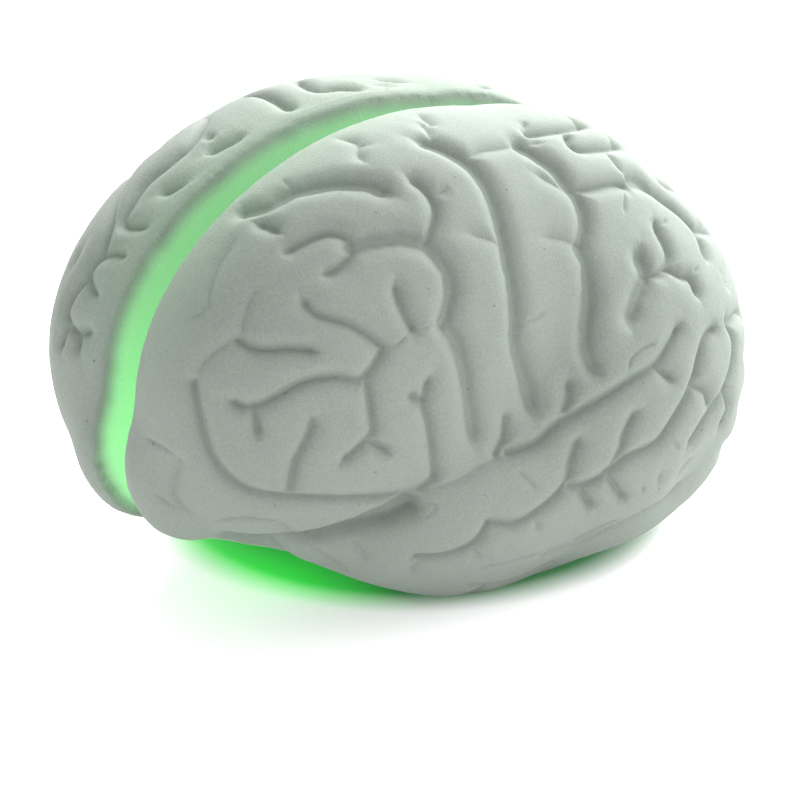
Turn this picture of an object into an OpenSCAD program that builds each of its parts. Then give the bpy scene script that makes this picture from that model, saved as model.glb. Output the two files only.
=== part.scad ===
// Brain-shaped squeeze ball with a lamp inside: two foam hemispheres, a foam cerebellum and
// brain stem, and a translucent glowing core that holds a sealed lamp.
// Frame: +Z up, the frontal pole points to -Y, the brain's left half is at +X.
// The origin is at the middle of the footprint, on the surface that the ball rests on.

/* [Ball] */
// Length from the frontal pole to the occipital pole
ball_length = 86; // [82:1:92]
// Width across both hemispheres
ball_width = 64; // [62:1:70]
// Height above the table
ball_height = 56; // [55:0.5:60]

/* [Fissure] */
// Width of the slot between the hemispheres
fissure_width = 4.9; // [4.6:0.1:5.4]
// Slope of the cleft between the hemispheres and the cerebellum, in degrees
cleft_slope = 15; // [14:0.5:16]
// Distance behind the middle where that cleft reaches the table
cleft_start = 4; // [3.5:0.5:5]
// Width of the cleft
cleft_gap = 0.8; // [0.7:0.1:1]

/* [Glowing core] */
// Radius of the round-ended core
core_radius = 12; // [11.8:0.1:12.2]
// Length of the core
core_length = 46; // [45:0.5:47]
// Height of the middle of the core above the table
core_middle = 21; // [20.8:0.1:21.4]
// Thickness of the thin fin that stands in the slot
fin_thickness = 1.2; // [0.8:0.1:1.2]
// Room between the core and the foam around it
core_room = 1.4; // [1.3:0.1:1.6]

/* [Foam hinges] */
// Distance of each hinge bead from the middle plane
bead_offset = 10; // [9.8:0.1:10.2]
// Height of the hinge beads above the table
bead_height = 14; // [13.5:0.5:14.5]
// Radius of a hinge bead
bead_radius = 2.6; // [2.5:0.1:2.8]
// Length of a hinge bead
bead_length = 14; // [10:1:16]
// Room between a bead and its groove
bead_fit = 0.05; // [0.03:0.01:0.08]

/* [Lamp] */
// Width of the lamp case
case_width = 11; // [10.6:0.1:11]
// Length of the lamp case
case_length = 32; // [31.6:0.1:32]
// Height of the lamp case
case_height = 12; // [11.8:0.1:12]
// Wall of the lamp case
case_wall = 1; // [0.9:0.05:1]
// Diameter of one button cell
cell_diameter = 7.9; // [7.8:0.1:7.9]
// Thickness of one button cell
cell_thickness = 3.6; // [3.4:0.1:3.6]
// Diameter of a lamp
led_diameter = 3; // [2:0.5:3]
// Travel of the push button
button_travel = 0.8; // [0.5:0.1:0.8]

/* [Hidden] */

$fn = 96;
eps = 0.01;
big = 200;

foam_colour = "#c3cbc2";
glow_colour = "#35e05a";
clear_colour = "#dfe9e2";
steel_colour = "#c9cbcd";

half_fissure = fissure_width / 2;
groove_extra = 1;
core_y = -2;
core_straight = core_length - 2 * core_radius;

// Each lobe is an ellipsoid: its centre and its radii, as shares of the ball's half width,
// half length and height.
dome = [[0.23, -0.15, 0.545], [0.58, 0.835, 0.455]];
parietal = [[0.23, 0.093, 0.607], [0.547, 0.671, 0.354]];
frontal = [[0.13, -0.29, 0.43], [0.34, 0.71, 0.315]];
occipital = [[0.14, 0.335, 0.36], [0.86, 0.665, 0.475]];
temporal = [[0.455, 0.04, 0.262], [0.435, 0.585, 0.277]];
cerebellar = [[0.28, 0.5, 0.13], [0.42, 0.34, 0.19]];

// The hollow under the ball: the lamp shines out at its front, the stem stands at its back
hollow_radii = [8, 22];
hollow_y = 4;
hollow_height = 12.4;

// Brain stem: the round pons in front and the medulla behind it
pons_centre = [0, 9.5, 4.7];
pons_radii = [6, 6, 4];
medulla_radius = 3.4;
medulla_length = 11;
medulla_slope = 3;

// Thin fin of the core, in the plane of the slot: a low disc in front and a high one behind,
// each given as its place along the ball, its height and its radius
fin_front = [-22, 26, 13];
fin_rear = [0, 28, 14];

// Levels of the pieces stacked in the lamp case
case_base_z = core_middle - case_height / 2;
floor_z = case_base_z + case_wall;
contact_thickness = 0.3;
cell_z = floor_z + contact_thickness;
upper_contact_z = cell_z + cell_thickness;
board_level = 4.7;
board_z = floor_z + board_level;
board_thickness = 0.8;
board_top = board_z + board_thickness;
case_top = case_base_z + case_height;
board_play = 0.1;

// Places along the lamp case, from its middle
cell_spacing = 0.25;
cell_pitch = cell_diameter + cell_spacing;
cell_middle_y = core_y + 2.6;
switch_y = core_y - 12.5;
led_pitch = 10;
chip_place = 5;

led_collar = 0.25;
led_collar_height = 0.6;
led_barrel = 2.7;
cell_cap_share = 0.8;
contact_width = 3;
contact_reach = 0.6;
chip_size = [5, 4, 1.4];
resistor_size = [2, 1.2, 0.6];

switch_size = [6, 5, 3.4];
shaft_radius = 1.25;
shaft_fit = 0.05;
shaft_depth = 1.4;
shaft_end_room = 0.4;
switch_bottom = board_z - switch_size[2];
cap_radius = 2.6;
cap_room = 0.3;
cap_bottom = 8;
cap_top = case_base_z - button_travel - cap_room;

function share(s) = [s[0] * ball_width / 2, s[1] * ball_length / 2, s[2] * ball_height];

// The poles point sideways, along X, so that the flat cut of the slot runs round a pole.
// The seam between them lies at the back, or at the front when turned by half a turn.
module ellipsoid(centre, radii, seam = 90) {
    translate(centre)
        scale(radii)
            rotate([0, 90, 0])
                rotate([0, 0, seam])
                    sphere(r = 1);
}

module lobe(shape) {
    ellipsoid(share(shape[0]), share(shape[1]));
}

// Everything beyond the plane x = start, and above the table
module half_room(start) {
    translate([start, -big / 2, 0])
        cube([big, big, big]);
}

// The space behind the cleft's line and under its sloping plane, lowered by drop
module under_cleft(drop) {
    translate([0, cleft_start, -drop])
        rotate([cleft_slope, 0, 0])
            translate([-big / 2, 0, -big])
                cube([big, big, big]);
}

module hinge_bead(radius, length) {
    translate([bead_offset, core_y - length / 2, bead_height])
        rotate([-90, 0, 0])
            cylinder(r = radius, h = length);
}

module hollow() {
    translate([0, hollow_y, -1])
        scale([hollow_radii[0], hollow_radii[1], 1])
            cylinder(r = 1, h = hollow_height + 1);
}

// The core's round-ended bar, grown by room on every side
module core_body(room) {
    translate([0, core_y - core_straight / 2, core_middle])
        rotate([-90, 0, 0])
            union() {
                cylinder(r = core_radius + room, h = core_straight);
                sphere(r = core_radius + room);
                translate([0, 0, core_straight])
                    sphere(r = core_radius + room);
            }
}

module fin_disc(disc) {
    translate([-fin_thickness / 2, disc[0], disc[1]])
        rotate([0, 90, 0])
            cylinder(r = disc[2], h = fin_thickness);
}

module hemisphere() {
    difference() {
        intersection() {
            union() {
                lobe(dome);
                lobe(parietal);
                lobe(frontal);
                lobe(occipital);
                lobe(temporal);
            }
            half_room(half_fissure);
        }
        under_cleft(0);
        core_body(core_room);
        hinge_bead(bead_radius + bead_fit, bead_length + groove_extra);
        hollow();
    }
}

module left_hemisphere() {
    color(foam_colour)
        hemisphere();
}

module right_hemisphere() {
    color(foam_colour)
        mirror([1, 0, 0])
            hemisphere();
}

module stem_shape() {
    ellipsoid(pons_centre, pons_radii, -90);
    translate(pons_centre)
        rotate([-90 - medulla_slope, 0, 0])
            cylinder(r = medulla_radius, h = medulla_length);
}

module brain_stem() {
    color(foam_colour)
        stem_shape();
}

module cerebellum() {
    color(foam_colour)
        difference() {
            intersection() {
                union() {
                    lobe(cerebellar);
                    mirror([1, 0, 0])
                        lobe(cerebellar);
                }
                under_cleft(cleft_gap);
                translate([0, 0, big / 2])
                    cube([big, big, big], center = true);
            }
            stem_shape();
        }
}

module case_block(size_cut, bottom, top) {
    translate([-case_width / 2 + size_cut, core_y - case_length / 2 + size_cut, bottom])
        cube([case_width - 2 * size_cut, case_length - 2 * size_cut, top - bottom]);
}

module glow_core() {
    color(glow_colour, 0.6)
        difference() {
            union() {
                core_body(0);
                fin_disc(fin_front);
                fin_disc(fin_rear);
                hinge_bead(bead_radius, bead_length);
                mirror([1, 0, 0])
                    hinge_bead(bead_radius, bead_length);
            }
            case_block(0, case_base_z, case_top);
            translate([0, switch_y, 0])
                cylinder(r = cap_radius + cap_room, h = core_middle);
        }
}

module lamp_case_base() {
    color(clear_colour)
        difference() {
            case_block(0, case_base_z, board_top);
            case_block(case_wall, floor_z, board_top + eps);
            translate([0, switch_y, case_base_z - eps])
                cylinder(r = shaft_radius + cap_room, h = case_wall + 2 * eps);
        }
}

module lamp_case_lid() {
    color(clear_colour, 0.5)
        difference() {
            case_block(0, board_top, case_top);
            case_block(case_wall, board_top - eps, case_top - case_wall);
        }
}

module circuit_board() {
    color("#1f6b3c")
        case_block(case_wall + board_play, board_z, board_top);
}

// A lamp on the board: collar, barrel and round top
module led(place) {
    radius = led_diameter / 2;
    color("#8dfc9f", 0.8)
        translate([0, core_y + place * led_pitch, board_top])
            union() {
                cylinder(r = radius + led_collar, h = led_collar_height);
                cylinder(r = radius, h = led_barrel);
                translate([0, 0, led_barrel])
                    sphere(r = radius);
            }
}

module led_front() {
    led(-1);
}

module led_middle() {
    led(0);
}

module led_rear() {
    led(1);
}

// A button cell: the wide can below and the narrower cap above
module button_cell(place) {
    can = cell_thickness * cell_cap_share;
    color(steel_colour)
        translate([0, cell_middle_y + place * cell_pitch, cell_z])
            union() {
                cylinder(d = cell_diameter, h = can);
                cylinder(d = cell_diameter * cell_cap_share, h = cell_thickness);
            }
}

module cell_front() {
    button_cell(-1);
}

module cell_middle() {
    button_cell(0);
}

module cell_rear() {
    button_cell(1);
}

module contact_strip(bottom) {
    length = 2 * cell_pitch + cell_diameter * contact_reach;
    translate([-contact_width / 2, cell_middle_y - length / 2, bottom])
        cube([contact_width, length, contact_thickness]);
}

module contact_lower() {
    color("gold")
        contact_strip(floor_z);
}

module contact_upper() {
    color("gold")
        union() {
            contact_strip(upper_contact_z);
            translate([-contact_width / 2, cell_middle_y - contact_width / 2, upper_contact_z])
                cube([contact_width, contact_width, board_z - upper_contact_z]);
        }
}

// A small block on top of the board
module board_block(place, size) {
    translate([-size[0] / 2, core_y + place - size[1] / 2, board_top])
        cube(size);
}

module timer_chip() {
    color("#222222")
        board_block(-chip_place, chip_size);
}

module resistor() {
    color("#30343a")
        board_block(chip_place, resistor_size);
}

module switch_body() {
    color("#2b2b2b")
        difference() {
            translate([-switch_size[0] / 2, switch_y - switch_size[1] / 2, switch_bottom])
                cube(switch_size);
            translate([0, switch_y, switch_bottom - eps])
                cylinder(r = shaft_radius + shaft_fit, h = shaft_depth + button_travel + shaft_end_room);
        }
}

module switch_button() {
    color(glow_colour)
        translate([0, switch_y, 0])
            union() {
                translate([0, 0, cap_bottom])
                    cylinder(r = cap_radius, h = cap_top - cap_bottom);
                translate([0, 0, cap_top - eps])
                    cylinder(r = shaft_radius, h = switch_bottom + shaft_depth - cap_top + eps);
            }
}

left_hemisphere();
right_hemisphere();
cerebellum();
brain_stem();
glow_core();
lamp_case_base();
lamp_case_lid();
circuit_board();
led_front();
led_middle();
led_rear();
cell_front();
cell_middle();
cell_rear();
contact_lower();
contact_upper();
timer_chip();
resistor();
switch_body();
switch_button();
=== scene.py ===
import math

import bmesh
import bpy
import numpy as np
from mathutils import Matrix, Vector, noise
from mathutils.bvhtree import BVHTree
from mathutils.kdtree import KDTree


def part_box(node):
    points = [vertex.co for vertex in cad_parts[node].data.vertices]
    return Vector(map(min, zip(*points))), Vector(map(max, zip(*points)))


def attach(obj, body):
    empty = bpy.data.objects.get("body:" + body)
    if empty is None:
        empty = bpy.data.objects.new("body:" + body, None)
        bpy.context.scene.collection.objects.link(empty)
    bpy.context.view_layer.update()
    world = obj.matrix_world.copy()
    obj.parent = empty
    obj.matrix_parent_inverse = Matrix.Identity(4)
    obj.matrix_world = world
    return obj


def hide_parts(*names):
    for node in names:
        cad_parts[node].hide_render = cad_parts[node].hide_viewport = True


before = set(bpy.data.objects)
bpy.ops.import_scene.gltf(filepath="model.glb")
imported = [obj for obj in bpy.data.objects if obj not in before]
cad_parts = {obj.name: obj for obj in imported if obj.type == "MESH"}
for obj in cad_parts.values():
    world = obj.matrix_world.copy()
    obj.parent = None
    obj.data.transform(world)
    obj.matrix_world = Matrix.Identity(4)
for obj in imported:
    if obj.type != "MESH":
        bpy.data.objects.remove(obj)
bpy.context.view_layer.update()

# Looks of a brain-shaped stress ball: two carved foam halves, a foam cerebellum and stem,
# and a glowing silicone core with a sealed lamp inside.
# Meshes are worked on in millimetres and scaled to metres at the end.

MM = 0.001
HALF_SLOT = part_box("left_hemisphere")[0].x / MM
MAP_MIDDLE = Vector((HALF_SLOT, 0, 26))

# Folds are runs of points (u, v) on the side view of one half, seen from outside with the
# frontal pole at u = -1 and the top at v = 1. The distance from the middle is the angle from
# the sideways axis, and 1 is the rim of the slot.

# The deep recess between the frontal lobe's underside and the temporal lobe
NOTCH = [
    [(-.76, -.52), (-.80, -.44), (-.815, -.36), (-.79, -.312), (-.735, -.298), (-.68, -.296),
     (-.62, -.283), (-.561, -.265), (-.50, -.236), (-.45, -.205)],
]

WIDE = [
    [(-.50, .51), (-.43, .525), (-.37, .525), (-.32, .50), (-.29, .44), (-.30, .38), (-.34, .31)],
    [(-.33, .30), (-.31, .25), (-.30, .18), (-.29, .08), (-.275, -.02), (-.27, -.09)],
    [(-.70, .63), (-.65, .635), (-.58, .67), (-.50, .68), (-.43, .675), (-.38, .655), (-.34, .62)],
    [(-.21, .81), (-.14, .765), (-.08, .70), (-.06, .64), (-.07, .55), (-.09, .42), (-.10, .32),
     (-.115, .22), (-.09, .13), (-.07, .03), (-.065, -.05)],
    [(.165, .71), (.20, .67), (.225, .62), (.24, .56), (.255, .51), (.245, .46), (.21, .41)],
    [(.195, .40), (.21, .35), (.19, .28), (.14, .20), (.115, .13), (.12, .08), (.145, .05)],
    [(.24, .13), (.255, .17), (.30, .21), (.36, .25), (.38, .29), (.42, .33)],
    [(.52, .455), (.58, .42), (.62, .37), (.645, .30), (.645, .24)],
]

DEEP = [
    # frontal lobe
    [(-.79, .17), (-.74, .15), (-.66, .20), (-.60, .21), (-.55, .20), (-.50, .26), (-.50, .28),
     (-.55, .33), (-.61, .36), (-.63, .41)],
    [(-.74, .15), (-.74, .10), (-.74, .06)],
    [(-.66, .13), (-.65, .10), (-.68, .02), (-.69, -.02), (-.70, -.09)],
    [(-.835, .20), (-.83, .10), (-.82, .02), (-.79, -.05), (-.75, -.085), (-.685, -.108),
     (-.57, -.148), (-.50, -.168), (-.45, -.172), (-.41, -.155), (-.385, -.13)],
    [(-.75, .30), (-.72, .28), (-.66, .28), (-.61, .27)],
    [(-.65, .49), (-.60, .52), (-.54, .545), (-.50, .53), (-.50, .50), (-.54, .46), (-.59, .44)],
    [(-.43, .44), (-.435, .39), (-.43, .35), (-.42, .31)],
    [(-.54, .20), (-.54, .12), (-.54, .06), (-.56, .03), (-.62, -.03)],
    [(-.55, .03), (-.52, 0), (-.50, -.03)],
    [(-.39, .20), (-.42, .12), (-.41, .05), (-.40, -.03), (-.385, -.14)],
    [(-.42, .115), (-.47, .15)],
    [(-.69, .59), (-.65, .57), (-.625, .54)],
    [(-.30, .69), (-.265, .65), (-.255, .61), (-.27, .57), (-.32, .51)],
    # central fissure and the parietal lobe
    [(.36, .25), (.40, .235), (.43, .235), (.46, .20), (.48, .18), (.465, .12)],
    [(.43, .235), (.47, .26), (.495, .31), (.52, .35)],
    [(.25, .545), (.31, .52), (.38, .50), (.44, .48), (.475, .46)],
    [(.25, .73), (.35, .70), (.45, .67), (.55, .645)],
    [(.39, .66), (.365, .635), (.39, .61), (.48, .575), (.56, .545), (.62, .53)],
    [(.645, .24), (.61, .20), (.57, .17)],
    [(.65, .23), (.74, .18)],
    # lateral fissure and the temporal lobe
    [(-.16, -.113), (-.07, -.105), (0, -.055), (.05, -.03), (.12, 0), (.20, .03),
     (.27, .045), (.33, .08), (.39, .12)],
    [(.27, .04), (.295, .01), (.31, -.02)],
    [(-.175, .02), (-.16, -.02), (-.165, -.07), (-.20, -.11)],
    [(.05, .09), (.04, .03), (.02, -.02)],
    [(-.22, -.28), (-.15, -.30), (-.09, -.29), (-.02, -.26), (.02, -.22), (.03, -.16),
     (.055, -.08)],
    [(.03, -.235), (.06, -.24), (.12, -.205), (.15, -.15), (.165, -.10), (.19, -.06),
     (.215, -.04)],
    [(.13, -.20), (.17, -.165), (.24, -.145), (.29, -.10), (.36, -.03), (.40, .02), (.44, .05),
     (.50, .055)],
    [(.36, -.035), (.395, -.06), (.41, -.10)],
    [(.54, .04), (.545, -.01), (.51, -.06), (.47, -.09)],
    [(.54, .035), (.61, .02), (.68, -.005)],
    [(.33, -.195), (.37, -.155), (.40, -.13), (.475, -.09)],
    [(.475, -.095), (.49, -.14), (.475, -.17), (.455, -.20)],
    [(.12, -.205), (.15, -.25), (.19, -.30)],
    [(.055, -.24), (.08, -.28), (.11, -.315)],
    [(-.40, -.37), (-.35, -.37), (-.30, -.36), (-.25, -.33), (-.225, -.285)],
    # back of the occipital lobe, out of the photographed side
    [(.74, .18), (.80, .22), (.84, .31), (.82, .40), (.76, .47)],
    [(.68, .56), (.74, .56), (.80, .53), (.84, .46)],
    [(.68, -.005), (.74, .04), (.79, .05), (.85, .02)],
    [(.62, .10), (.70, .11), (.77, .14), (.86, .15)],
    [(.60, -.08), (.66, -.10), (.73, -.08), (.79, -.04), (.83, -.08)],
    [(.56, -.17), (.63, -.19), (.70, -.18), (.76, -.14)],
    [(.49, -.26), (.57, -.28), (.65, -.27)],
    [(.70, .36), (.75, .33), (.77, .27), (.74, .23)],
    [(.84, .31), (.89, .34), (.92, .31)],
    [(.86, .15), (.90, .18), (.92, .24), (.95, .22)],
    [(.85, .02), (.90, .05), (.95, .02)],
    [(.83, -.08), (.88, -.11), (.93, -.09)],
    [(.76, -.14), (.82, -.19), (.88, -.20)],
    [(.80, .53), (.83, .57)],
    [(.62, .53), (.68, .62), (.74, .63)],
    [(.55, .645), (.60, .71), (.66, .72)],
]

SOFT = [
    [(-.765, .293), (-.801, .262), (-.821, .23), (-.83, .195)],
    [(-.88, 0), (-.895, -.08), (-.89, -.13), (-.86, -.18)],
    [(-.745, .29), (-.735, .34), (-.71, .40), (-.68, .43)],
    [(-.68, -.296), (-.62, -.283), (-.561, -.265), (-.50, -.236), (-.45, -.205), (-.42, -.18)],
    [(-.42, -.17), (-.33, -.155), (-.25, -.13), (-.19, -.12), (-.16, -.113)],
    [(.005, -.457), (.125, -.453), (.197, -.38), (.266, -.338), (.347, -.327), (.412, -.29)],
    [(-.86, .335), (-.80, .365), (-.79, .41), (-.77, .47), (-.74, .52), (-.71, .56)],
    [(-.72, .68), (-.70, .63)],
    [(-.59, .72), (-.575, .67)],
    [(-.36, .80), (-.38, .76), (-.37, .72)],
    [(-.40, .87), (-.36, .83), (-.35, .80), (-.30, .80)],
    [(-.23, .53), (-.18, .52), (-.13, .50), (-.10, .475)],
    [(-.255, .62), (-.22, .63), (-.185, .645)],
    [(-.13, .77), (-.07, .72), (0, .725), (.08, .72), (.16, .715)],
    [(-.11, .85), (-.14, .78)],
    [(-.06, .92), (-.08, .85)],
    [(.12, .64), (.17, .60), (.215, .55)],
    [(.03, .475), (.10, .46), (.15, .435), (.19, .40)],
    [(.17, .71), (.22, .70), (.28, .68)],
    [(.25, .74), (.30, .77)],
    [(.495, .56), (.495, .51), (.51, .48)],
    [(.60, .14), (.63, .10), (.66, .07)],
    [(-.265, -.34), (-.24, -.37), (-.215, -.39)],
    [(-.09, -.29), (-.07, -.32), (-.055, -.345)],
    [(-.39, -.37), (-.395, -.42), (-.38, -.46)],
    [(.21, -.34), (.15, -.39), (.11, -.43)],
    [(.325, -.275), (.36, -.245), (.395, -.22)],
    [(.26, -.205), (.265, -.27)],
    # under the frontal lobe and the temporal lobe, out of the photographed side
    [(-.72, -.20), (-.66, -.33), (-.58, -.44), (-.50, -.52)],
    [(-.84, -.24), (-.80, -.38), (-.72, -.50), (-.62, -.62)],
    [(-.58, -.44), (-.64, -.48), (-.72, -.50)],
    [(-.62, -.24), (-.56, -.33), (-.50, -.42)],
    [(-.24, -.52), (-.12, -.56), (.02, -.56), (.13, -.52)],
    [(-.28, -.66), (-.14, -.70), (.02, -.70)],
    [(-.12, -.56), (-.13, -.63), (-.14, -.70)],
]

FINE = [
    [(-.34, .31), (-.39, .31), (-.43, .30), (-.47, .275), (-.50, .275)],
    [(-.95, .04), (-.91, .03), (-.88, .01)],
    [(-.93, -.105), (-.89, -.15)],
    [(-.84, -.20), (-.80, -.17), (-.77, -.165), (-.73, -.18)],
    [(-.08, .27), (-.03, .27), (.02, .28)],
    [(.48, .185), (.53, .19)],
    [(.51, .32), (.56, .315)],
    [(.40, .405), (.43, .435), (.465, .46)],
    [(.195, .05), (.21, .08), (.245, .095), (.29, .097)],
    [(.265, -.13), (.31, -.175)],
    [(.21, -.245), (.225, -.275)],
    [(-.15, -.155), (-.11, -.19), (-.075, -.225)],
    [(-.22, -.43), (-.12, -.43), (-.02, -.43)],
    [(.01, -.435), (.10, -.43)],
    [(-.43, -.215), (-.41, -.20), (-.385, -.21), (-.395, -.235), (-.42, -.24), (-.43, -.215)],
]

# Folds of the right half's front and top, where they differ from the left half's
RIGHT_DEEP = [
    [(-.62, .70), (-.58, .745), (-.54, .79), (-.50, .81)],
    [(-.735, .57), (-.72, .625), (-.70, .68), (-.674, .727)],
    [(-.37, .66), (-.30, .685), (-.27, .74), (-.28, .80), (-.33, .88), (-.31, .915)],
    [(0, .98), (-.08, .92), (-.16, .89), (-.14, .84), (-.10, .78)],
    [(.52, .84), (.57, .77), (.62, .72)],
    [(-.39, .67), (-.47, .68), (-.555, .674), (-.625, .625), (-.675, .563), (-.727, .517),
     (-.77, .48), (-.795, .494), (-.824, .549)],
    [(-.82, .40), (-.755, .45), (-.65, .475), (-.52, .50)],
    [(-.872, .446), (-.85, .436), (-.832, .418), (-.824, .39), (-.83, .357), (-.842, .338),
     (-.874, .324), (-.905, .32)],
    [(-.842, .336), (-.841, .28), (-.852, .235), (-.874, .217), (-.90, .213)],
    [(-.943, .245), (-.91, .22), (-.918, .184), (-.935, .165)],
    [(-.87, .205), (-.873, .158), (-.886, .134)],
]
RIGHT_SOFT = [
    [(.06, .89), (.17, .895), (.27, .90)],
    [(.03, .935), (.20, .955)],
    [(-.751, .387), (-.766, .338), (-.792, .285)],
    [(-.505, .609), (-.51, .55), (-.515, .503)],
    [(-.52, .74), (-.56, .70)],
]

# Where the skin stands out from the plain lobes, or in: side view point, reach and height in mm
SWELLS = [
    ((-.93, -.14), 10, 0.6),
    ((-.92, -.27), 6, 0.5),
    ((-.79, -.39), 6, -3.0),
    ((-.64, -.42), 6, 0.7),
    ((.37, -.30), 6, -1.0),
    ((.42, -.22), 7, -0.5),
    ((-.57, -.50), 6, 0.5),
    ((-.36, -.50), 8, -0.6),
    ((-.27, -.49), 8, -0.4),
    ((-.12, -.50), 8, -0.6),
    ((.05, -.50), 8, -0.6),
    ((.19, -.47), 8, -0.6),
    ((.84, .43), 10, 0.4),
    ((.80, .19), 10, 0.4),
    ((-.28, .72), 10, 0.3),
]

# Depth, reach, half the width of the flat bottom and length of the tapered ends of each kind of
# fold, in mm
FOLD_KINDS = {
    "notch": (2.2, 4.2, 0.6, 12),
    "wide": (1.20, 3.4, 0.45, 2.6),
    "deep": (1.05, 2.8, 0.12, 1.8),
    "soft": (0.55, 2.8, 0.03, 3.0),
    "fine": (0.32, 1.0, 0.04, 1.2),
}
# How steep the sides of a fold are, as an exponent
FOLD_CURVE = 3.2
# In mm: the step along a run, how near another run has to pass to join its end, and the plain
# band beside the slot where folds fade in
RUN_STEP = 0.15
JOIN_REACH = 1.3
BAND_START, BAND_END = 1.2, 3.0
# The right half repeats the left half's folds inside an ellipse of the side view: its middle on
# u, its half sizes, its limit, and the shift of the repeated folds
SHARED_MIDDLE, SHARED_WIDE, SHARED_HIGH, SHARED_LIMIT = 0.05, 0.9, 0.82, 0.78
SHARED_SHIFT = 0.014

# Face sizes in mm, and how far from a fold the faces are halved in each round
VOXEL = 0.62
SMALL_VOXEL = 0.3
FINE_REACH = (1.4, 0.36)
FINER_ROUNDS = 2

# Camera: degrees, metres and mm of focal length
CAMERA_AZIMUTH, CAMERA_ELEVATION = 47.8, 23
CAMERA_DISTANCE, CAMERA_LENS = 0.550, 212.4
AIM_RIGHT, AIM_DOWN = 0.00075, 0.0114

# Light. Directions are shares rightward, away from the camera and upward, lengths in metres.
SKY_EVEN, SKY_BRIGHT = 0.86, 4.0
BRIGHT_WAY = (0.55, 0.78, 0.32)
KEY_PLACE, KEY_SIZE, KEY_POWER = (0.26, 0.60, 0.46), 0.8, 13.5
LAMP_STRENGTH, BUTTON_STRENGTH = 0.65, 0.8

# Table: its own light, and the circle under the ball where it has painted shadow and painted green lamp
# light, with its fading edges as shares of the radius
TABLE_LIGHT = 0.43
GLOW_MIDDLE, GLOW_RADIUS = (-0.008, 0.0098), 0.033
TINT_EDGE, LIGHT_EDGE = (0.84, 1.0), (0.86, 1.02)
TABLE_TINT, PAINTED_SHADOW_TINT = (0.80, 0.80, 0.80), (0.12, 0.28, 0.14)
# Painted green lamp light: bright green in front of the first place along the ball, dark green painted
# shade behind the second
PAINTED_GLOW_GREENS = (0.01, 0.62, 0.03), (0.01, 0.09, 0.02)
GREEN_FADE = (-0.020, -0.010)


# ---------------------------------------------------------------- stage

def make_camera():
    """Camera at the photographed angle, 23 degrees above the table."""
    azimuth, elevation = math.radians(CAMERA_AZIMUTH), math.radians(CAMERA_ELEVATION)
    flat = math.cos(elevation)
    back = Vector((math.sin(azimuth) * flat, -math.cos(azimuth) * flat, math.sin(elevation)))
    right = Vector((math.cos(azimuth), math.sin(azimuth), 0))
    up = back.cross(right)
    focus = Vector((0, 0, 0.030))
    camera = bpy.data.objects.new("camera", bpy.data.cameras.new("camera"))
    bpy.context.scene.collection.objects.link(camera)
    camera.data.sensor_width = 36
    camera.data.lens = CAMERA_LENS
    camera.data.clip_start, camera.data.clip_end = 0.01, 50
    camera.location = focus + back * CAMERA_DISTANCE
    aim = focus + right * AIM_RIGHT - up * AIM_DOWN
    camera.rotation_euler = (camera.location - aim).to_track_quat("Z", "Y").to_euler()
    bpy.context.scene.camera = camera
    return right, back


def area_light(name, place, size, power):
    """A round lamp that shines at the middle of the ball."""
    lamp = bpy.data.lights.new(name, "AREA")
    lamp.energy = power
    lamp.shape = "DISK"
    lamp.size = size
    light = bpy.data.objects.new(name, lamp)
    bpy.context.scene.collection.objects.link(light)
    light.location = place
    aim = Vector((0, 0, 0.028))
    light.rotation_euler = (light.location - aim).to_track_quat("Z", "Y").to_euler()


def seen_way(right, back, shares):
    """A vector from its shares rightward, away from the camera and upward."""
    behind = Vector((-back.x, -back.y, 0)).normalized()
    return right * shares[0] + behind * shares[1] + Vector((0, 0, shares[2]))


def make_stage(right, back):
    """Pale table in a white room, brighter behind on the right, with a soft key light behind."""
    bpy.context.scene.view_settings.view_transform = "Standard"
    world = bpy.data.worlds.new("studio")
    bpy.context.scene.world = world
    world.use_nodes = True
    bright = seen_way(right, back, BRIGHT_WAY).normalized()
    tree = world.node_tree
    sky = tree.nodes["Background"]
    sky.inputs["Color"].default_value = (1, 1, 1, 1)
    toward = node(tree, "ShaderNodeVectorMath", {1: bright},
                  {0: node(tree, "ShaderNodeTexCoord").outputs["Generated"]},
                  operation="DOT_PRODUCT").outputs["Value"]
    tree.links.new(ramp(tree, toward, 0.1, 1.0, SKY_EVEN, SKY_BRIGHT), sky.inputs["Strength"])
    area_light("key", seen_way(right, back, KEY_PLACE), KEY_SIZE, KEY_POWER)

    bpy.ops.mesh.primitive_plane_add(size=6)
    floor = bpy.context.object
    floor.name = "table"
    floor.data.materials.append(table_material())


def table_material():
    """Pale table, faintly lit from below, with painted shadow and painted green lamp light under the
    ball.
    """
    mat, tree, shader = new_material("table")
    shader.inputs["Roughness"].default_value = 0.9
    away = node(tree, "ShaderNodeVectorMath", {1: (*GLOW_MIDDLE, 0)}, {0: object_coords(tree)},
                operation="DISTANCE").outputs["Value"]
    away = maths(tree, "DIVIDE", away, GLOW_RADIUS)
    along = node(tree, "ShaderNodeSeparateXYZ", links={0: object_coords(tree)}).outputs["Y"]
    green = mix(tree, ramp(tree, along, *GREEN_FADE), *PAINTED_GLOW_GREENS)
    # Darker green base colour under the ball: painted shadow.
    tree.links.new(mix(tree, ramp(tree, away, *TINT_EDGE), PAINTED_SHADOW_TINT, TABLE_TINT),
                   shader.inputs["Base Color"])
    # Under the ball the table's white light gives way to green: painted lamp light, dark behind as
    # painted shade.
    tree.links.new(mix(tree, ramp(tree, away, *LIGHT_EDGE), green, (TABLE_LIGHT,) * 3),
                   shader.inputs["Emission Color"])
    shader.inputs["Emission Strength"].default_value = 1
    return mat


# ---------------------------------------------------------------- materials

def new_material(name):
    mat = bpy.data.materials.new(name)
    mat.use_nodes = True
    return mat, mat.node_tree, mat.node_tree.nodes["Principled BSDF"]


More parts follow.
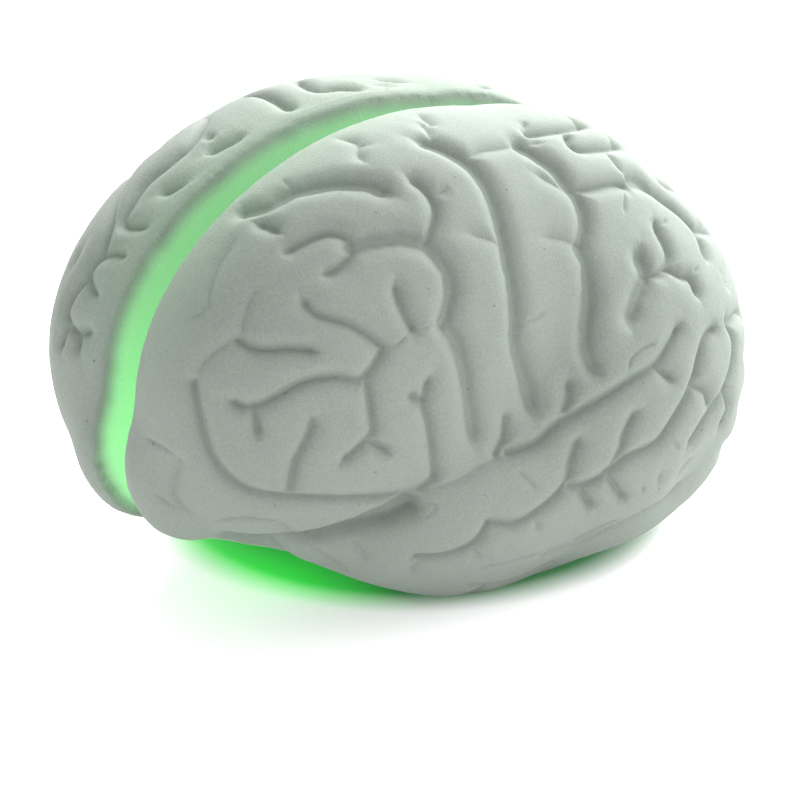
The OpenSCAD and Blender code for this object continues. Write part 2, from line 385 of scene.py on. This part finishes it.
def node(tree, kind, values=None, links=None, **settings):
    """A shader node with its settings, input values and input links."""
    made = tree.nodes.new(kind)
    for key, value in settings.items():
        setattr(made, key, value)
    for key, value in (values or {}).items():
        made.inputs[key].default_value = value
    for key, source in (links or {}).items():
        tree.links.new(source, made.inputs[key])
    return made


def object_coords(tree):
    return node(tree, "ShaderNodeTexCoord").outputs["Object"]


def noise_of(tree, coords, scale, detail=4.0, rough=0.55):
    made = node(tree, "ShaderNodeTexNoise", {"Scale": scale, "Detail": detail, "Roughness": rough},
                {"Vector": coords})
    return made.outputs["Fac"]


def maths(tree, operation, a, b):
    made = node(tree, "ShaderNodeMath", operation=operation)
    for slot, value in enumerate((a, b)):
        if isinstance(value, (int, float)):
            made.inputs[slot].default_value = value
        else:
            tree.links.new(value, made.inputs[slot])
    return made.outputs[0]


def ramp(tree, source, low, high, start=0.0, end=1.0):
    """A number mapped from low..high to start..end, held at its ends."""
    made = node(tree, "ShaderNodeMapRange",
                {"From Min": low, "From Max": high, "To Min": start, "To Max": end},
                {"Value": source})
    return made.outputs["Result"]


def mix(tree, factor, a, b):
    """Two colours mixed by a number."""
    made = node(tree, "ShaderNodeMix", data_type="RGBA")
    tree.links.new(factor, made.inputs["Factor"])
    for slot, value in ((6, a), (7, b)):
        if isinstance(value, tuple):
            made.inputs[slot].default_value = (*value, 1)
        else:
            tree.links.new(value, made.inputs[slot])
    return made.outputs[2]


def attribute(tree, name):
    return node(tree, "ShaderNodeAttribute", attribute_name=name).outputs["Fac"]


def add_bump(tree, shader, height, strength, distance):
    """Fine relief of the skin, its full height in metres."""
    bump = node(tree, "ShaderNodeBump", {"Strength": strength, "Distance": distance},
                {"Height": height})
    tree.links.new(bump.outputs["Normal"], shader.inputs["Normal"])


def pinholes(tree, coords):
    """1 inside the few round pinholes of the skin, 0 elsewhere."""
    cells = node(tree, "ShaderNodeTexVoronoi", {"Scale": 520.0, "Randomness": 1.0},
                 {"Vector": coords})
    chosen = node(tree, "ShaderNodeSeparateColor", links={"Color": cells.outputs["Color"]})
    near = ramp(tree, cells.outputs["Distance"], 0.03, 0.08, 1, 0)
    return maths(tree, "MULTIPLY", near, ramp(tree, chosen.outputs["Red"], 0.70, 0.72))


def foam_material():
    """Self-skinned foam: fine grain, sparse pinholes with painted shade, painted shade in the folds,
    painted green glow in the slot.
    """
    mat, tree, shader = new_material("foam_skin")
    coords = object_coords(tree)
    cloud = noise_of(tree, coords, 55, 3)
    speck = noise_of(tree, coords, 4200, 2, 0.6)
    grain = noise_of(tree, coords, 5200, 3, 0.7)
    pinhole = pinholes(tree, coords)

    tint = mix(tree, ramp(tree, cloud, 0.35, 0.65), (0.176, 0.204, 0.179), (0.194, 0.223, 0.197))
    tint = mix(tree, ramp(tree, speck, 0.3, 0.7, 0, 0.6), tint, (0.27, 0.302, 0.27))
    # Darker tint where the folds are deep: painted shade in the creases.
    tint = mix(tree, ramp(tree, attribute(tree, "fold"), 0.35, 1.0, 0, 0.3), tint, (0.140, 0.166, 0.142))
    # Darker tint inside the pinholes: painted shade in the holes, which the bump below also dents.
    tint = mix(tree, maths(tree, "MULTIPLY", pinhole, 0.6), tint, (0.10, 0.11, 0.10))
    tree.links.new(tint, shader.inputs["Base Color"])
    tree.links.new(ramp(tree, speck, 0.3, 0.7, 0.72, 0.88), shader.inputs["Roughness"])
    shader.inputs["Specular IOR Level"].default_value = 0.35

    # The foam's emission is painted light: a green glow in the slot, beside the near rim and underneath,
    # where the lamp's light would fall.
    shader.inputs["Emission Color"].default_value = (0.30, 1.0, 0.33, 1)
    tree.links.new(maths(tree, "MULTIPLY", attribute(tree, "glow"), 0.80),
                   shader.inputs["Emission Strength"])

    lines = noise_of(tree, node(tree, "ShaderNodeMapping", {"Scale": (1, 0.04, 0.04)},
                                {"Vector": coords}).outputs["Vector"], 2600, 2)
    height = maths(tree, "ADD", maths(tree, "MULTIPLY", grain, 0.5), speck)
    height = maths(tree, "ADD", height, maths(tree, "MULTIPLY", lines, attribute(tree, "band")))
    height = maths(tree, "SUBTRACT", height, maths(tree, "MULTIPLY", pinhole, 2.5))
    add_bump(tree, shader, height, 0.7, 0.00007)
    return mat


def glow_material(name, strength):
    """Translucent silicone lit from inside: brighter and darker cloudy patches, a satin skin."""
    mat, tree, shader = new_material(name)
    coords = object_coords(tree)
    cloud = noise_of(tree, coords, 140, 3)
    grain = noise_of(tree, coords, 2200, 3)
    tint = mix(tree, ramp(tree, cloud, 0.3, 0.7), (0.05, 0.62, 0.12), (0.14, 0.85, 0.25))
    tree.links.new(tint, shader.inputs["Base Color"])
    tree.links.new(ramp(tree, grain, 0.3, 0.7, 0.32, 0.5), shader.inputs["Roughness"])
    shader.inputs["Emission Color"].default_value = (0.02, 1.0, 0.06, 1)
    tree.links.new(ramp(tree, cloud, 0.3, 0.7, strength * 0.8, strength * 1.2),
                   shader.inputs["Emission Strength"])
    add_bump(tree, shader, grain, 0.4, 0.00004)
    return mat


def moulded_material(name, dark, light, rough, scale=900, metallic=0.0, bump_height=0.00003,
                     stretch=(1, 1, 1), transmission=0.0, emission=None):
    """Moulded plastic or plated metal: tint and roughness vary a little, with a fine bump."""
    mat, tree, shader = new_material(name)
    coords = node(tree, "ShaderNodeMapping", {"Scale": stretch},
                  {"Vector": object_coords(tree)}).outputs["Vector"]
    grain = noise_of(tree, coords, scale, 4)
    tree.links.new(mix(tree, ramp(tree, grain, 0.3, 0.7), dark, light), shader.inputs["Base Color"])
    tree.links.new(ramp(tree, grain, 0.3, 0.7, rough[0], rough[1]), shader.inputs["Roughness"])
    shader.inputs["Metallic"].default_value = metallic
    shader.inputs["Transmission Weight"].default_value = transmission
    if emission:
        shader.inputs["Emission Color"].default_value = (*emission[0], 1)
        shader.inputs["Emission Strength"].default_value = emission[1]
    add_bump(tree, shader, grain, 0.5, bump_height)
    return mat


def board_material():
    """Solder-masked fibreglass: weave under green lacquer, with paler tracks."""
    mat, tree, shader = new_material("board_mask")
    coords = object_coords(tree)
    tracks = node(tree, "ShaderNodeTexBrick", {"Scale": 420.0, "Mortar Size": 0.03,
                  "Color1": (0, 0, 0, 1), "Color2": (0, 0, 0, 1), "Mortar": (1, 1, 1, 1)},
                  {"Vector": coords}, offset=0.35).outputs["Color"]
    weave = noise_of(tree, coords, 3000, 2)
    tint = mix(tree, ramp(tree, weave, 0.3, 0.7), (0.016, 0.105, 0.035), (0.022, 0.14, 0.048))
    tree.links.new(mix(tree, tracks, tint, (0.05, 0.25, 0.09)), shader.inputs["Base Color"])
    tree.links.new(ramp(tree, weave, 0.3, 0.7, 0.25, 0.38), shader.inputs["Roughness"])
    add_bump(tree, shader, tracks, 0.5, 0.00004)
    return mat


# ---------------------------------------------------------------- meshes

def vertices_of(mesh):
    co = np.empty(len(mesh.vertices) * 3)
    mesh.vertices.foreach_get("co", co)
    return co.reshape(-1, 3)


def set_vertices(mesh, co):
    mesh.vertices.foreach_set("co", co.ravel())
    mesh.update()


def normals_of(mesh):
    out = np.empty(len(mesh.vertices) * 3, np.float32)
    mesh.vertex_normals.foreach_get("vector", out)
    return out.reshape(-1, 3).astype(float)


def cad_copy(cad_node):
    """A copy of a CAD node's mesh in mm, with its split vertices joined."""
    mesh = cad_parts[cad_node].data.copy()
    mesh.materials.clear()
    work = bmesh.new()
    work.from_mesh(mesh)
    work.transform(Matrix.Scale(1 / MM, 4))
    bmesh.ops.remove_doubles(work, verts=work.verts, dist=0.002)
    work.to_mesh(mesh)
    work.free()
    return mesh


def voxel_copy(mesh, voxel):
    """The closed mesh made again from even quads of that size."""
    holder = bpy.data.objects.new("holder", mesh)
    bpy.context.scene.collection.objects.link(holder)
    remesh = holder.modifiers.new("remesh", "REMESH")
    remesh.mode = "VOXEL"
    remesh.voxel_size = voxel
    made = bpy.data.meshes.new_from_object(
        holder.evaluated_get(bpy.context.evaluated_depsgraph_get()))
    bpy.data.objects.remove(holder)
    return made


def relax(co, edges, rounds, weight):
    """Moves each vertex part of the way to the mean of its neighbours, by its weight."""
    count = np.bincount(edges.ravel(), minlength=len(co))[:, None]
    ends = np.concatenate([edges[:, 0], edges[:, 1]])
    others = np.concatenate([edges[:, 1], edges[:, 0]])
    for _ in range(rounds):
        total = np.stack([np.bincount(ends, co[others, k], len(co)) for k in range(3)], 1)
        co = co + (total / count - co) * weight[:, None]
    return co


def edges_of(mesh):
    out = np.empty(len(mesh.edges) * 2, int)
    mesh.edges.foreach_get("vertices", out)
    return out.reshape(-1, 2)


def smoothed(mesh, rounds):
    """The mesh's vertices, each moved half way to its neighbours in every round."""
    return relax(vertices_of(mesh), edges_of(mesh), rounds, np.full(len(mesh.vertices), 0.5))


def spread(values, edges, rounds):
    """A number at each vertex, evened out with its neighbours."""
    return relax(np.repeat(values[:, None], 3, 1), edges, rounds, np.full(len(values), 0.5))[:, 0]


def tree_of(mesh, co):
    """Search tree of a mesh's faces, with its vertices at the given places."""
    faces = [tuple(p.vertices) for p in mesh.polygons]
    return BVHTree.FromPolygons([Vector(p) for p in co], faces)


def smooth_step(value, low, high):
    t = np.clip((value - low) / (high - low), 0, 1)
    return t * t * (3 - 2 * t)


def waviness(co, scale, seed):
    """Gentle noise from -1 to 1 at each vertex."""
    shift = Vector((seed, seed * 2.7, -seed * 1.3))
    return np.array([noise.noise(Vector(p) / scale + shift) for p in co])


def add_number(mesh, name, values):
    layer = mesh.attributes.new(name, "FLOAT", "POINT")
    layer.data.foreach_set("value", values.astype(np.float32))


def read_number(mesh, name):
    values = np.empty(len(mesh.vertices), np.float32)
    mesh.attributes[name].data.foreach_get("value", values)
    return values.astype(float)


def finish_piece(mesh, name, body, cad_nodes, mat):
    """Scales a worked mesh to metres and hands it to the frame as a piece."""
    set_vertices(mesh, vertices_of(mesh) * MM)
    mesh.materials.clear()
    mesh.materials.append(mat)
    mesh.polygons.foreach_set("use_smooth", [True] * len(mesh.polygons))
    piece = bpy.data.objects.new(name, mesh)
    bpy.context.scene.collection.objects.link(piece)
    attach(piece, body)
    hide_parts(*cad_nodes)


# ---------------------------------------------------------------- folds

def smooth_run(points, steps=12):
    """A smooth curve through the points (Catmull-Rom)."""
    p = np.array([points[0], *points, points[-1]], float)
    p[0] = 2 * p[1] - p[2]
    p[-1] = 2 * p[-2] - p[-3]
    t = np.linspace(0, 1, steps, endpoint=False)[:, None]
    out = []
    for a, b, c, d in zip(p, p[1:], p[2:], p[3:]):
        out.append(0.5 * (2 * b + (c - a) * t + (2 * a - 5 * b + 4 * c - d) * t ** 2
                          + (3 * b - a - 3 * c + d) * t ** 3))
    return np.vstack([*out, p[-2:-1]])


def on_surface(points, tree):
    """Points of the side view put on the outer surface, met from outside, with even steps."""
    places = []
    for u, v in points:
        r = min(math.hypot(u, v), 0.995)
        angle = r * math.pi / 2
        spread = math.sin(angle) / max(math.hypot(u, v), 1e-6)
        ray = Vector((math.cos(angle), u * spread, v * spread))
        hit = tree.ray_cast(MAP_MIDDLE + ray * 100, -ray)[0]
        if hit is not None:
            places.append(hit)
    places = np.array(places)
    length = np.concatenate([[0], np.cumsum(np.linalg.norm(np.diff(places, axis=0), axis=1))])
    even = np.linspace(0, length[-1], max(int(length[-1] / RUN_STEP), 4))
    return np.stack([np.interp(even, length, places[:, k]) for k in range(3)], 1), even


def end_taper(run, even, others, length):
    """1 along a run, falling to 0 at an end that meets no other run."""
    taper = np.ones(len(run))
    for end, distance in ((run[0], even), (run[-1], even[-1] - even)):
        nearest = min(np.linalg.norm(o - end, axis=1).min() for o in others)
        if nearest > JOIN_REACH:
            taper *= 0.15 + 0.85 * smooth_step(distance, 0, min(length, even[-1] / 2))
    return taper


def fold_runs(kinds, tree):
    """Every fold as (kind, points on the surface in even steps, taper at each point)."""
    placed = []
    for kind, lists in kinds:
        for points in lists:
            placed.append((kind, *on_surface(smooth_run(points), tree)))
    runs = []
    for index, (kind, run, even) in enumerate(placed):
        others = [other[1] for k, other in enumerate(placed) if k != index]
        runs.append((kind, run, end_taper(run, even, others, FOLD_KINDS[kind][3])))
    return runs


def near_run(co, run, reach):
    """(vertices within reach of a run, their distance to it, the closest point's index)."""
    low, high = run.min(0) - reach, run.max(0) + reach
    near = np.flatnonzero(np.all((co > low) & (co < high), axis=1))
    for part in np.array_split(near, max(1, len(near) * len(run) // 4000000)):
        if not len(part):
            continue
        square = ((co[part, None, :] - run[None, :, :]) ** 2).sum(2)
        closest = square.argmin(1)
        yield part, np.sqrt(square[np.arange(len(part)), closest]), closest


def fold_depths(co, runs):
    """How deep the folds are at each vertex, in mm."""
    total = np.zeros(len(co))
    ragged = 1 + 0.45 * waviness(co, 1.3, 4.4)
    for kind, run, taper in runs:
        depth, reach, flat, _ = FOLD_KINDS[kind]
        for part, distance, closest in near_run(co, run, reach):
            narrow = flat * taper[closest] * ragged[part]
            out = np.clip((distance - narrow) / (reach - narrow), 0, 1)
            shape = depth * taper[closest] * (1 - out) ** FOLD_CURVE
            total[part] += shape ** 4
    return total ** 0.25


def fold_distance(co, runs, limit):
    """Distance from each vertex to the nearest fold, up to a limit."""
    best = np.full(len(co), limit)
    for _, run, _ in runs:
        for part, distance, _ in near_run(co, run, limit):
            best[part] = np.minimum(best[part], distance)
    return best


def refine_near(mesh, chosen):
    """Splits each edge whose two ends are chosen, so that folds get smaller faces."""
    work = bmesh.new()
    work.from_mesh(mesh)
    work.verts.ensure_lookup_table()
    edges = [e for e in work.edges if chosen[e.verts[0].index] and chosen[e.verts[1].index]]
    bmesh.ops.subdivide_edges(work, edges=edges, cuts=1, use_grid_fill=True)
    work.to_mesh(mesh)
    work.free()


def hidden_part(runs):
    """The stretches of the left half's runs that the right half shares, a little shifted."""
    kept = []
    for run in runs:
        part = []
        for u, v in run:
            if ((u - SHARED_MIDDLE) / SHARED_WIDE) ** 2 + (max(v, 0) / SHARED_HIGH) ** 2 < SHARED_LIMIT:
                part.append((u + SHARED_SHIFT * math.sin(7 * v + 1),
                             v + SHARED_SHIFT * math.sin(6 * u)))
            else:
                if len(part) > 1:
                    kept.append(part)
                part = []
        if len(part) > 1:
            kept.append(part)
    return kept


def outer_share(co, tree):
    """1 at vertices of the outer skin, 0 on the slot's wall, in the pocket and underneath."""
    outside = np.zeros(len(co))
    middle = np.array(MAP_MIDDLE)
    for i, p in enumerate(co):
        ray = Vector(p - middle)
        if ray.x < 0.02 or ray.length < 1:
            continue
        ray.normalize()
        hit = tree.ray_cast(MAP_MIDDLE + ray * 100, -ray)[0]
        if hit is not None and (hit - Vector(p)).length < 0.7:
            outside[i] = 1
    return outside


def half_folds(side):
    """Each kind of fold with its runs on one half."""
    if side == "left":
        return [("notch", NOTCH), ("wide", WIDE), ("deep", DEEP), ("soft", SOFT), ("fine", FINE)]
    return [("notch", NOTCH), ("wide", hidden_part(WIDE)),
            ("deep", RIGHT_DEEP + hidden_part(DEEP)),
            ("soft", RIGHT_SOFT + hidden_part(SOFT)), ("fine", hidden_part(FINE))]


def eased(co, edges, outside):
    """The skin's vertices with the rim rounded and the creases between the lobes eased."""
    co = relax(co, edges, 4, np.full(len(co), 0.5))
    from_slot = co[:, 0] - HALF_SLOT
    rim = np.maximum(outside, smooth_step(2.0 - from_slot, 0, 1)) * smooth_step(co[:, 2], 2, 6)
    co = relax(co, edges, 11, 0.5 * rim)
    co[:, 0] = np.maximum(co[:, 0], HALF_SLOT)
    bulk = outside * smooth_step(from_slot, 1.0, 4) * smooth_step(co[:, 2], 0.3, 2.5)
    return relax(co, edges, 30, 0.5 * bulk)


def carved(mesh, outside, runs):
    """The vertices moved inward by the folds and gentle waves, and the depth of the folds."""
    co = vertices_of(mesh)
    depth = fold_depths(co, runs)
    depth *= outside * smooth_step(co[:, 0] - HALF_SLOT, BAND_START, BAND_END)
    wave = 0.10 * waviness(co, 9, 3.1) + 0.035 * waviness(co, 2.2, 7.7)
    inward = (depth + outside * wave) * smooth_step(co[:, 2], -0.2, 1.2)
    return co - normals_of(mesh) * inward[:, None], depth


def make_hemisphere(side, mat):
    """One foam half: even mesh, lobes eased together, folds carved. Worked on as a left half."""
    cad_node = side + "_hemisphere"
    source = cad_copy(cad_node)
    mirror = np.array([1 if side == "left" else -1, 1, 1])
    mesh = voxel_copy(source, VOXEL)
    tree = tree_of(source, vertices_of(source) * mirror)
    co = vertices_of(mesh) * mirror
    outside = outer_share(co, tree)
    edges = edges_of(mesh)
    co = eased(co, edges, outside)
    set_vertices(mesh, co)
    if side == "right":
        mesh.flip_normals()
    co = co + normals_of(mesh) * swell(co, tree)[:, None] * outside[:, None]
    runs = fold_runs(half_folds(side), tree_of(mesh, co))
    set_vertices(mesh, co)
    add_number(mesh, "skin", spread(outside, edges, 2))
    for reach in FINE_REACH[:FINER_ROUNDS]:
        refine_near(mesh, fold_distance(vertices_of(mesh), runs, reach + 1) < reach)

    outside = read_number(mesh, "skin")
    from_slot = vertices_of(mesh)[:, 0] - HALF_SLOT
    co, depth = carved(mesh, outside, runs)
    set_vertices(mesh, co * mirror)
    if side == "right":
        mesh.flip_normals()
    add_number(mesh, "fold", np.clip(depth / FOLD_KINDS["deep"][0], 0, 1))
    add_number(mesh, "glow", painted_slot_glow(co, outside, mesh))
    add_number(mesh, "band", 1.2 * outside * (1 - smooth_step(from_slot, 2, 8)))
    finish_piece(mesh, side + "_half_foam", side + "_half", [cad_node], mat)


def swell(co, tree):
    """Height in mm by which the skin stands out from the plain lobes."""
    height = np.full(len(co), 0.15)
    for place, reach, amount in SWELLS:
        centre = on_surface([place, place], tree)[0][0]
        distance = np.linalg.norm(co - centre, axis=1)
        height += amount * np.exp(-(distance / reach) ** 2 * 2)
    return height


def painted_slot_glow(co, outside, mesh):
    """How strong the foam's painted green glow is, standing in for the lamp's light on and through it:
    most deep in the slot and low down.
    """
    rim = np.flatnonzero((outside > 0.5) & (co[:, 0] < HALF_SLOT + 1.5))
    tree = KDTree(len(rim))
    for k, i in enumerate(rim):
        tree.insert(Vector(co[i]), k)
    tree.balance()
    wall = np.flatnonzero((outside <= 0.5) & (co[:, 0] < HALF_SLOT + 1.2))
    depth = np.zeros(len(co))
    for i in wall:
        depth[i] = tree.find(Vector(co[i]))[2]
    low = 1 - 0.50 * smooth_step(co[:, 2], 14, 50)
    # Faint painted glow on the outer skin beside the near rim, as if light came through the foam.
    through = 0.10 * np.exp(-((co[:, 0] - HALF_SLOT) / 6) ** 2) * outside
    through *= smooth_step(co[:, 2], 28, 52)
    # Painted glow on the underside, brighter towards the front.
    under = smooth_step(-normals_of(mesh)[:, 2], 0.75, 1.0) * smooth_step(14 - co[:, 2], 0, 4)
    under *= (0.1 + 0.3 * smooth_step(-co[:, 1], 14, 24)) * smooth_step(12 - co[:, 0], 0, 6)
    glow = low * smooth_step(depth, 0.3, 2.2) + through + under
    return spread(glow, edges_of(mesh), 3)


def make_cerebellum(mat):
    """Two small rear lobes with close, nearly level folds that fan out from the stem."""
    mesh = voxel_copy(cad_copy("cerebellum"), VOXEL * 0.9)
    co = smoothed(mesh, 10)
    set_vertices(mesh, co)
    fold_step = 6.2
    fan = np.degrees(np.arctan2(co[:, 2] - 9, co[:, 1] - 8))
    bend = 3.0 * np.abs(co[:, 0]) / 14 + 1.6 * waviness(co, 6, 1.7)
    groove = (0.5 + 0.5 * np.cos((fan + bend) * 2 * math.pi / fold_step)) ** 3
    back = smooth_step(co[:, 1], 14, 19) * smooth_step(co[:, 2], 0.2, 1.4)
    vermis = np.exp(-((np.abs(co[:, 0]) - 2.6) / 0.8) ** 2)
    depth = back * (0.5 * groove + 0.5 * vermis) + 0.05 * (1 + waviness(co, 3, 5.5)) * back
    set_vertices(mesh, co - normals_of(mesh) * depth[:, None])
    add_number(mesh, "fold", np.clip(depth / 0.7, 0, 1))
    add_number(mesh, "glow", np.zeros(len(co)))
    finish_piece(mesh, "cerebellum_foam", "ball_core", ["cerebellum"], mat)


def make_stem(mat):
    """Round pons with faint cross bands, and the medulla with a groove along its middle."""
    mesh = voxel_copy(cad_copy("brain_stem"), SMALL_VOXEL)
    co = smoothed(mesh, 8)
    set_vertices(mesh, co)
    band_step = 1.7
    low = smooth_step(10 - co[:, 2], 0, 3)
    along = co[:, 1] * 2 * math.pi / band_step + 0.6 * waviness(co, 3, 2.2)
    bands = (0.5 + 0.5 * np.cos(along)) ** 2
    pons = smooth_step(15.5 - co[:, 1], 0, 1.2)
    groove = np.exp(-(co[:, 0] / 0.6) ** 2)
    depth = low * (0.14 * bands * pons + 0.4 * groove)
    set_vertices(mesh, co - normals_of(mesh) * depth[:, None])
    add_number(mesh, "fold", np.clip(depth / 0.6, 0, 1))
    add_number(mesh, "glow", np.zeros(len(co)))
    finish_piece(mesh, "stem_foam", "ball_core", ["brain_stem"], mat)


def make_core(mat):
    """The silicone core, its corners rounded as moulded."""
    mesh = voxel_copy(cad_copy("glow_core"), SMALL_VOXEL)
    set_vertices(mesh, smoothed(mesh, 4))
    finish_piece(mesh, "core_silicone", "ball_core", ["glow_core"], mat)


def make_button(mat):
    """Push button: cap with a rounded edge, a finger hollow and a ring, on a thinner shaft."""
    low, high = (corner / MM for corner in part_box("switch_button"))
    middle, radius = (low + high) / 2, (high.x - low.x) / 2
    neck, shoulder = 1.25, 13.9
    outline = [(0, low.z + 0.45), (0.8, low.z + 0.38), (1.5, low.z + 0.2), (1.9, low.z + 0.04),
               (2.1, low.z), (2.3, low.z + 0.05), (2.5, low.z + 0.25), (radius, low.z + 0.6),
               (radius, low.z + 2.0), (radius - 0.2, low.z + 2.15), (radius - 0.2, low.z + 2.45),
               (radius, low.z + 2.6), (radius, shoulder - 0.3), (radius - 0.3, shoulder),
               (neck + 0.15, shoulder), (neck, shoulder + 0.15), (neck, high.z - 0.25),
               (neck - 0.25, high.z), (0, high.z)]
    turned = bmesh.new()
    ring = [turned.verts.new((r, 0, z)) for r, z in outline]
    line = [turned.edges.new(pair) for pair in zip(ring, ring[1:])]
    bmesh.ops.spin(turned, geom=ring + line, cent=(0, 0, 0), axis=(0, 0, 1),
                   angle=2 * math.pi, steps=72)
    bmesh.ops.remove_doubles(turned, verts=turned.verts, dist=0.0005)
    bmesh.ops.recalc_face_normals(turned, faces=turned.faces)
    bmesh.ops.translate(turned, verts=turned.verts, vec=(middle.x, middle.y, 0))
    mesh = bpy.data.meshes.new("button_cap")
    turned.to_mesh(mesh)
    turned.free()
    finish_piece(mesh, "button_cap", "button", ["switch_button"], mat)


def lamp_materials():
    """Each material of the lamp's parts, with the CAD nodes that have it."""
    clear = moulded_material("clear_case", (0.70, 0.86, 0.76), (0.80, 0.93, 0.85), (0.10, 0.22),
                             300, bump_height=0.00002, transmission=0.8)
    lamp = moulded_material("lit_epoxy", (0.25, 0.95, 0.35), (0.35, 1.0, 0.45), (0.12, 0.2),
                            500, emission=((0.1, 1.0, 0.2), 6.0))
    steel = moulded_material("nickel_steel", (0.50, 0.50, 0.51), (0.66, 0.66, 0.67), (0.22, 0.38),
                             2500, metallic=1.0, stretch=(1, 1, 8))
    brass = moulded_material("strip_brass", (0.62, 0.44, 0.16), (0.78, 0.58, 0.26), (0.24, 0.36),
                             2200, metallic=1.0, stretch=(6, 0.4, 1))
    black = moulded_material("black_plastic", (0.016, 0.017, 0.018), (0.03, 0.031, 0.033),
                             (0.45, 0.6), 2600)
    return {clear: ["lamp_case_base", "lamp_case_lid"], board_material(): ["circuit_board"],
            lamp: ["led_front", "led_middle", "led_rear"],
            steel: ["cell_front", "cell_middle", "cell_rear"],
            brass: ["contact_lower", "contact_upper"],
            black: ["timer_chip", "resistor", "switch_body"]}


def dress(piece, mat):
    """A material and a small bevel for a part that keeps its CAD shape."""
    piece.data.materials.clear()
    piece.data.materials.append(mat)
    weld = piece.modifiers.new("weld", "WELD")
    weld.merge_threshold = 0.002 * MM
    bevel = piece.modifiers.new("bevel", "BEVEL")
    bevel.width = 0.10 * MM
    bevel.segments = 2
    bevel.limit_method = "ANGLE"
    bevel.angle_limit = math.radians(50)


def dress_inner_parts():
    for mat, cad_nodes in lamp_materials().items():
        for cad_node in cad_nodes:
            dress(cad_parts[cad_node], mat)


right, back = make_camera()
make_stage(right, back)
foam = foam_material()
make_hemisphere("left", foam)
make_hemisphere("right", foam)
make_cerebellum(foam)
make_stem(foam)
make_core(glow_material("lit_silicone", LAMP_STRENGTH))
make_button(glow_material("button_silicone", BUTTON_STRENGTH))
dress_inner_parts()
